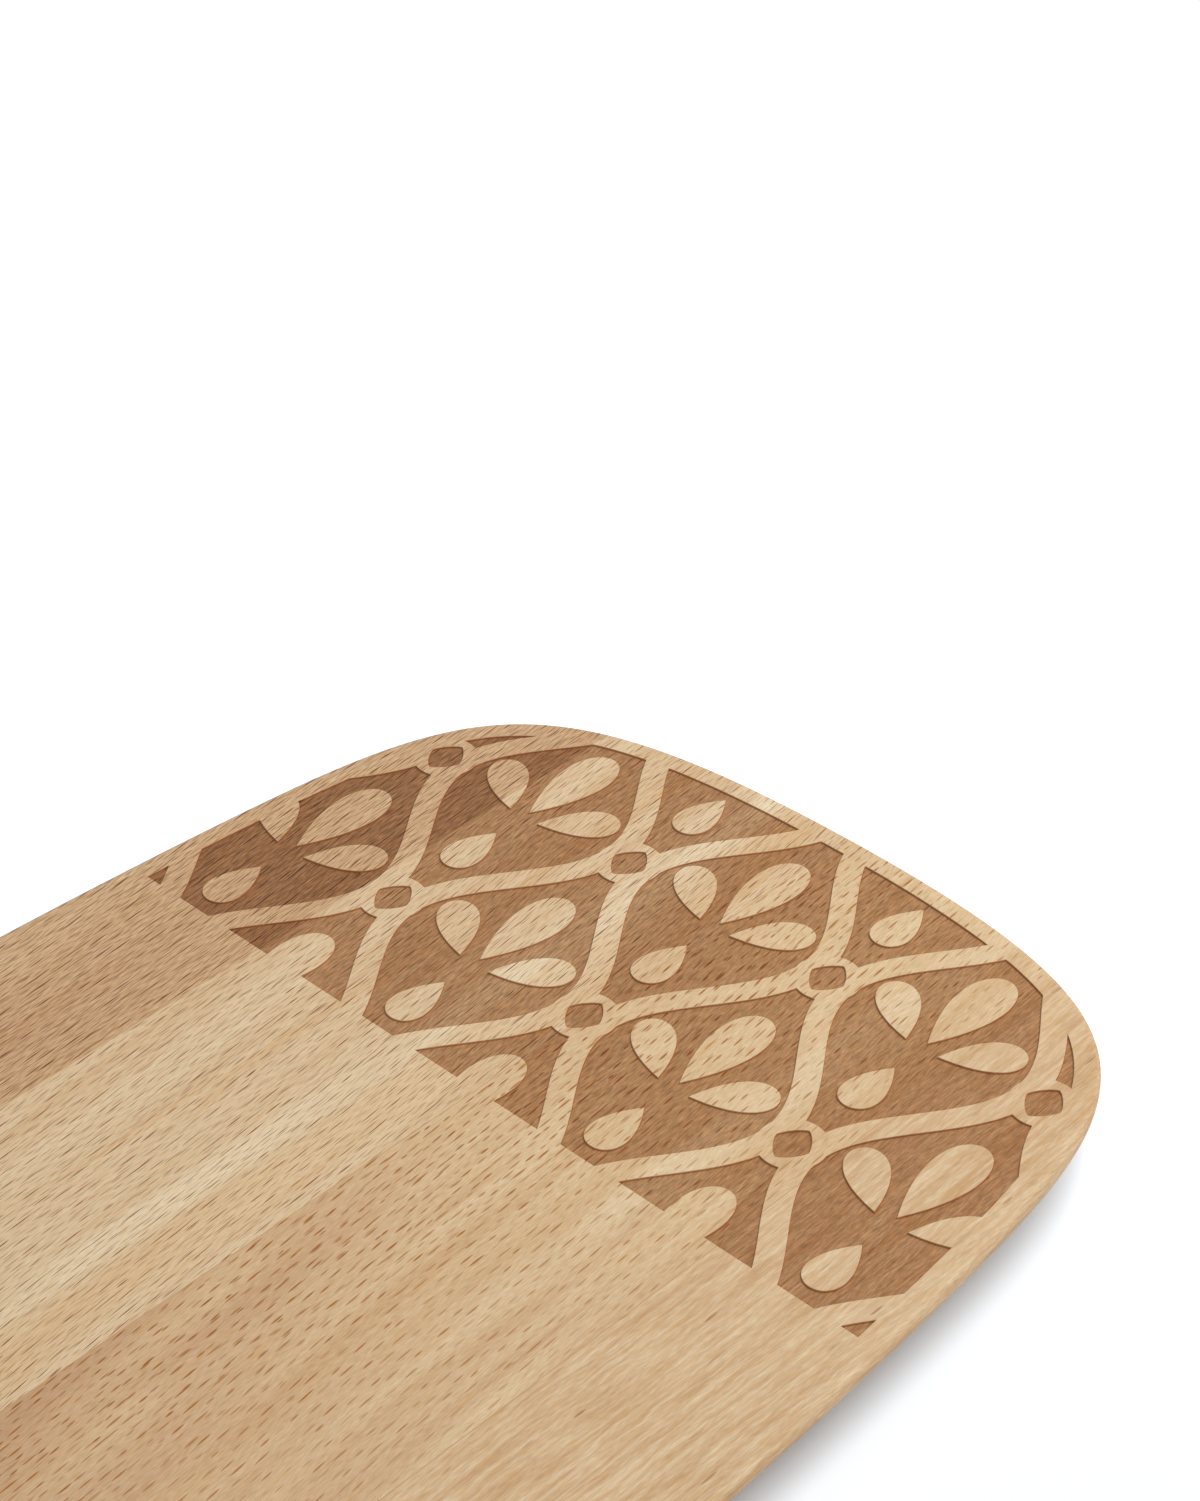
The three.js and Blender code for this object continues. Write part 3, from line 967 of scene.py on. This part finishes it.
def wood_glue(tones):
    """Cured glue: an amber line, clouded and slightly glossy."""
    finish = Finish(bpy.data.materials.new("cured_glue"))
    spot = finish.put("ShaderNodeTexCoord").outputs["Object"]
    cloud = finish.noise(spot, CLOUD)
    glue = np.array(tones.glue)
    dark, light = glue * (1 - CLOUD_CONTRAST), glue * (1 + CLOUD_CONTRAST)
    amber = finish.mix(finish.maths("ADD", cloud, 0.5), dark, light)
    milling = finish.maths("MULTIPLY", ground_depth(finish), GLUE_SCORCH_SHARE)
    scorched = finish.mix(milling, amber, GLUE_SCORCH)
    rough = finish.maths("MULTIPLY_ADD", cloud, CLOUD_ROUGHNESS, GLUE_ROUGHNESS)
    return finish.oiled(scorched, rough, cloud, GLUE_RELIEF, GLUE_RELIEF_STRENGTH)


class BOARD_OT_make_staves(Operator):
    """Make the four beech staves with their share of the milled band"""

    bl_idname = "board.make_staves"
    bl_label = "Make the staves"

    def execute(self, context):
        scene = context.scene
        board = whole_board(scene.board_shape, scene.band_ornament)
        for node in STAVES:
            finished_piece(board, node, beech(node, scene.beech_tones, GRAINS[node]))
        board.free()
        return {"FINISHED"}


class BOARD_OT_make_glue_lines(Operator):
    """Make the three thin glue lines between the staves"""

    bl_idname = "board.make_glue_lines"
    bl_label = "Make the glue lines"

    def execute(self, context):
        scene = context.scene
        board = whole_board(scene.board_shape, scene.band_ornament)
        material = wood_glue(scene.beech_tones)
        for node in GLUE_LINES:
            finished_piece(board, node, material)
        board.free()
        return {"FINISHED"}


# What the camera sees of the floor: painted shade, darker and bluer beside the board where its shadow lies,
# and then white
SHADOW_PLACE = (0.08, -0.10, 0)
FLOOR_FADE = (0.055, 0.11)
SHADE_PAINTED_FLOOR = (0.975, 1.06, 1.18)
FAR_WHITE = (1.15, 1.25, 1.39)
FLOOR_HALF = 4.0

# The surround: its tint and its level as light, and white where it is seen
SURROUND_TINT = (0.78, 0.975, 1.24)
SURROUND_LEVEL = 0.33
WHITE = (1, 1, 1)

CLIP_START = 0.01


def seen_directly(finish):
    """1 for camera, glossy and transmission rays, which show the background as it is."""
    rays = finish.put("ShaderNodeLightPath").outputs
    mirror = finish.maths("MAXIMUM", rays["Is Glossy Ray"], rays["Is Transmission Ray"])
    return finish.maths("MAXIMUM", rays["Is Camera Ray"], mirror)


def studio_floor(studio):
    """A wide pale floor that keeps the board's shadow, with painted shade that makes its seen colour darker
    and bluer beside the board.
    """
    corners = [(x * FLOOR_HALF, y * FLOOR_HALF, 0) for x, y in ((-1, -1), (1, -1), (1, 1), (-1, 1))]
    mesh = bpy.data.meshes.new("studio_floor")
    mesh.from_pydata(corners, [], [(0, 1, 2, 3)])
    finish = Finish(bpy.data.materials.new("studio_floor"))
    spot = finish.put("ShaderNodeTexCoord").outputs["Object"]
    away = finish.put("ShaderNodeVectorMath", {0: spot, 1: SHADOW_PLACE}, operation="DISTANCE")
    # Painted shade: the seen floor is darker and bluer near the shadow and white further off
    white = finish.mix(finish.spread(away.outputs["Value"], *FLOOR_FADE), SHADE_PAINTED_FLOOR, FAR_WHITE)
    colour = finish.mix(seen_directly(finish), tuple(studio.floor), white)
    shader = finish.put("ShaderNodeBsdfDiffuse", {"Color": colour}).outputs[0]
    mesh.materials.append(finish.surface(shader))
    floor = bpy.data.objects.new("studio_floor", mesh)
    bpy.context.scene.collection.objects.link(floor)


def studio_world():
    """A white surround: white where it is seen, and softer and cooler as light."""
    finish = Finish(bpy.data.worlds.new("studio"))
    seen = seen_directly(finish)
    colour = finish.mix(seen, SURROUND_TINT, WHITE)
    strength = finish.spread(seen, 0, 1, SURROUND_LEVEL, 1.0)
    background = finish.put("ShaderNodeBackground", {"Color": colour, "Strength": strength}).outputs[0]
    bpy.context.scene.world = finish.surface(background, "ShaderNodeOutputWorld")


def sun(name, level, colour, towards, spread):
    """A soft far lamp that gives a white sheet facing it this level."""
    lamp = bpy.data.lights.new(name, "SUN")
    lamp.energy = level * math.pi
    lamp.color = colour
    lamp.angle = math.radians(spread)
    made = bpy.data.objects.new(name, lamp)
    made.rotation_euler = Vector(towards).to_track_quat("Z", "Y").to_euler()
    bpy.context.scene.collection.objects.link(made)


def softbox(name, watts, place, target, size):
    """A square lamp at a place, turned to a target."""
    lamp = bpy.data.lights.new(name, "AREA")
    lamp.energy = watts
    lamp.size = size
    made = bpy.data.objects.new(name, lamp)
    made.location = place
    made.rotation_euler = (Vector(place) - Vector(target)).to_track_quat("Z", "Y").to_euler()
    bpy.context.scene.collection.objects.link(made)


def studio_camera(studio):
    """The camera at the photograph's viewing angle."""
    yaw, pitch = studio.camera_yaw, studio.camera_pitch
    forward = Vector((math.cos(yaw) * math.cos(pitch), math.sin(yaw) * math.cos(pitch), -math.sin(pitch)))
    right = Vector((math.sin(yaw), -math.cos(yaw), 0))
    up = right.cross(forward)
    data = bpy.data.cameras.new("camera")
    data.lens = studio.camera_lens
    data.clip_start = CLIP_START
    camera = bpy.data.objects.new("camera", data)
    turn = Matrix((right, up, -forward)).transposed().to_4x4()
    camera.matrix_world = Matrix.Translation(Vector(studio.camera_place)) @ turn
    bpy.context.scene.collection.objects.link(camera)
    bpy.context.scene.camera = camera


class BOARD_OT_set_stage(Operator):
    """Set the camera, the floor, the lamps and the white surround"""

    bl_idname = "board.set_stage"
    bl_label = "Set the stage"

    def execute(self, context):
        studio = context.scene.studio
        studio_camera(studio)
        studio_floor(studio)
        studio_world()
        sun("key", level=0.59, colour=(1.11, 1.015, 0.87), towards=(0.08, -0.30, 0.95), spread=50)
        softbox("end_softbox", watts=0.3, place=(0.33, -0.06, 0.30), target=(0.13, -0.02, 0), size=0.25)
        context.scene.view_settings.view_transform = "Standard"
        return {"FINISHED"}


class BOARD_PT_sidebar(Panel):
    """The board's sizes, colours and steps"""

    bl_idname = "BOARD_PT_sidebar"
    bl_label = "Serving board"
    bl_space_type = "VIEW_3D"
    bl_region_type = "UI"
    bl_category = "Board"

    def draw(self, context):
        layout = self.layout
        for name in SETTINGS:
            group = getattr(context.scene, name)
            box = layout.box()
            for prop in group.bl_rna.properties:
                if prop.is_runtime:
                    box.prop(group, prop.identifier)
        for step in STEPS:
            layout.operator(step.bl_idname)


SETTINGS = {
    "board_shape": BoardShape,
    "band_ornament": BandOrnament,
    "beech_tones": BeechTones,
    "studio": Studio,
}
STEPS = (BOARD_OT_set_stage, BOARD_OT_make_staves, BOARD_OT_make_glue_lines)


def register():
    for name, group in SETTINGS.items():
        bpy.utils.register_class(group)
        setattr(bpy.types.Scene, name, PointerProperty(type=group))
    for step in STEPS:
        bpy.utils.register_class(step)
    bpy.utils.register_class(BOARD_PT_sidebar)


def unregister():
    bpy.utils.unregister_class(BOARD_PT_sidebar)
    for step in STEPS:
        bpy.utils.unregister_class(step)
    for name, group in SETTINGS.items():
        delattr(bpy.types.Scene, name)
        bpy.utils.unregister_class(group)


def main():
    register()
    bpy.ops.board.set_stage()
    bpy.ops.board.make_staves()
    bpy.ops.board.make_glue_lines()


if __name__ == "__main__":
    main()
